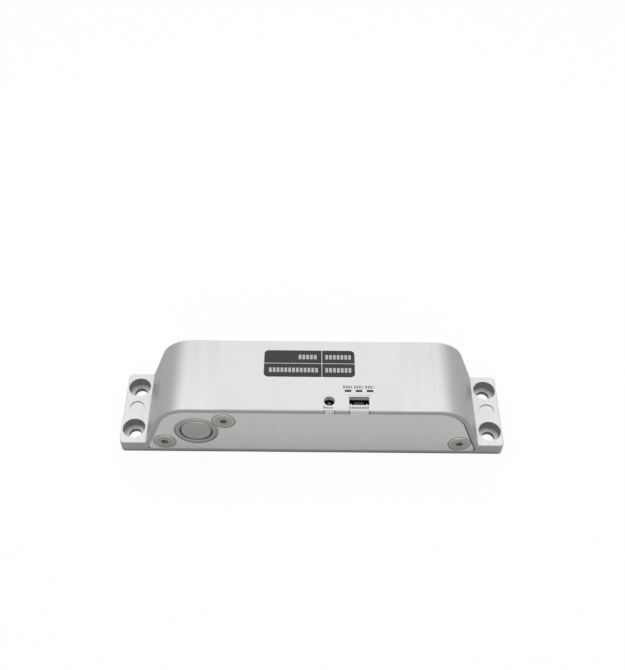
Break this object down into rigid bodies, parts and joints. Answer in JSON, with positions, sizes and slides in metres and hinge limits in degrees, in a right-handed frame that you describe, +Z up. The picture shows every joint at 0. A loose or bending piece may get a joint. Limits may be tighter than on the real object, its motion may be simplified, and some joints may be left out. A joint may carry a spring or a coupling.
{
  "type": "electric bolt lock",
  "caption": "Surface-mounted electric bolt lock: an extruded aluminium housing with feet, closed by flush covers, holding a solenoid, a bell crank and a round sliding bolt.",
  "frame": {"origin": "middle of the underside of the feet", "axes": "+X along the length, away from the bolt end; +Z up from the mounting face; the bolt comes out towards -Y"},
  "size_m": [0.196, 0.044, 0.0382],
  "materials": {
    "anodised_aluminium": "satin anodised, faint streaks along the extrusion",
    "cover_aluminium": "satin anodised plate",
    "label": "satin polyester film with a dark printed panel",
    "stainless": "turned stainless steel",
    "screw_steel": "nickel-plated steel",
    "zinc_steel": "zinc-plated steel",
    "spring_steel": "drawn spring wire",
    "rubber": "black rubber",
    "black_plastic": "black moulded plastic",
    "coil": "enamelled copper winding",
    "bobbin": "natural nylon",
    "board": "green solder resist on glass laminate",
    "relay": "blue moulded case",
    "capacitor": "sleeved can",
    "terminal": "green moulded plastic",
    "lamp": "smoked lens, unlit",
    "contact": "gold-flashed brass",
    "glass": "clear glass tube",
    "brass_post": "turned brass"
  },
  "bodies": {
    "lock_body": {"housing": "anodised_aluminium", "front_cover": "cover_aluminium", "back_cover": "cover_aluminium", "front_cover_screws": "screw_steel", "back_cover_screws": "screw_steel", "label_film": "label", "bolt_guide_bush": "stainless", "bolt_bumper": "rubber", "mechanism_plate": "zinc_steel", "mechanism_plate_screws": "screw_steel", "pivot_post": "screw_steel", "pivot_clip": "spring_steel", "solenoid_bracket": "zinc_steel", "bracket_screws": "screw_steel", "solenoid_frame": "zinc_steel", "solenoid_screws": "screw_steel", "solenoid_bobbin": "bobbin", "solenoid_coil": "coil", "solenoid_core": "zinc_steel", "return_spring": "spring_steel", "circuit_board": "board", "board_standoffs": "brass_post", "board_screws": "screw_steel", "lamp_spacer": "black_plastic", "status_lamp": "lamp", "selector_header": "black_plastic", "selector_pins": "contact", "jumper_cap": "black_plastic", "relay": "relay", "capacitor": "capacitor", "terminal_block": "terminal", "cable_grommet": "rubber", "reed_holder": "black_plastic", "reed_switch": "glass"},
    "bolt": {"bolt": "stainless", "bolt_cross_pin": "screw_steel"},
    "crank": {"bell_crank": "zinc_steel"},
    "plunger": {"solenoid_plunger": "stainless", "push_rod": "stainless", "rod_clevis": "zinc_steel", "clevis_pin": "screw_steel", "spring_retainer": "spring_steel"}
  },
  "joints": [
    {"name": "bolt_slide", "type": "slide", "parent": "lock_body", "child": "bolt", "axis": [0, -1, 0], "range_m": [0, 0.015], "stiffness_N_per_m": 120, "springref_m": -0.01},
    {"name": "crank_turn", "type": "hinge", "parent": "lock_body", "child": "crank", "pos_m": [-0.038, 0.0015, 0.0194], "axis": [0, 0, 1], "range_deg": [0, 41.12]},
    {"name": "plunger_slide", "type": "slide", "parent": "lock_body", "child": "plunger", "axis": [-1, 0, 0], "range_m": [0, 0.00563], "deforming": ["return_spring"]}
  ],
  "couplings": [
    {"joint": "crank_turn", "follows": "bolt_slide", "rad_per_m": 47.836},
    {"joint": "plunger_slide", "follows": "bolt_slide", "ratio": 0.375}
  ]
}
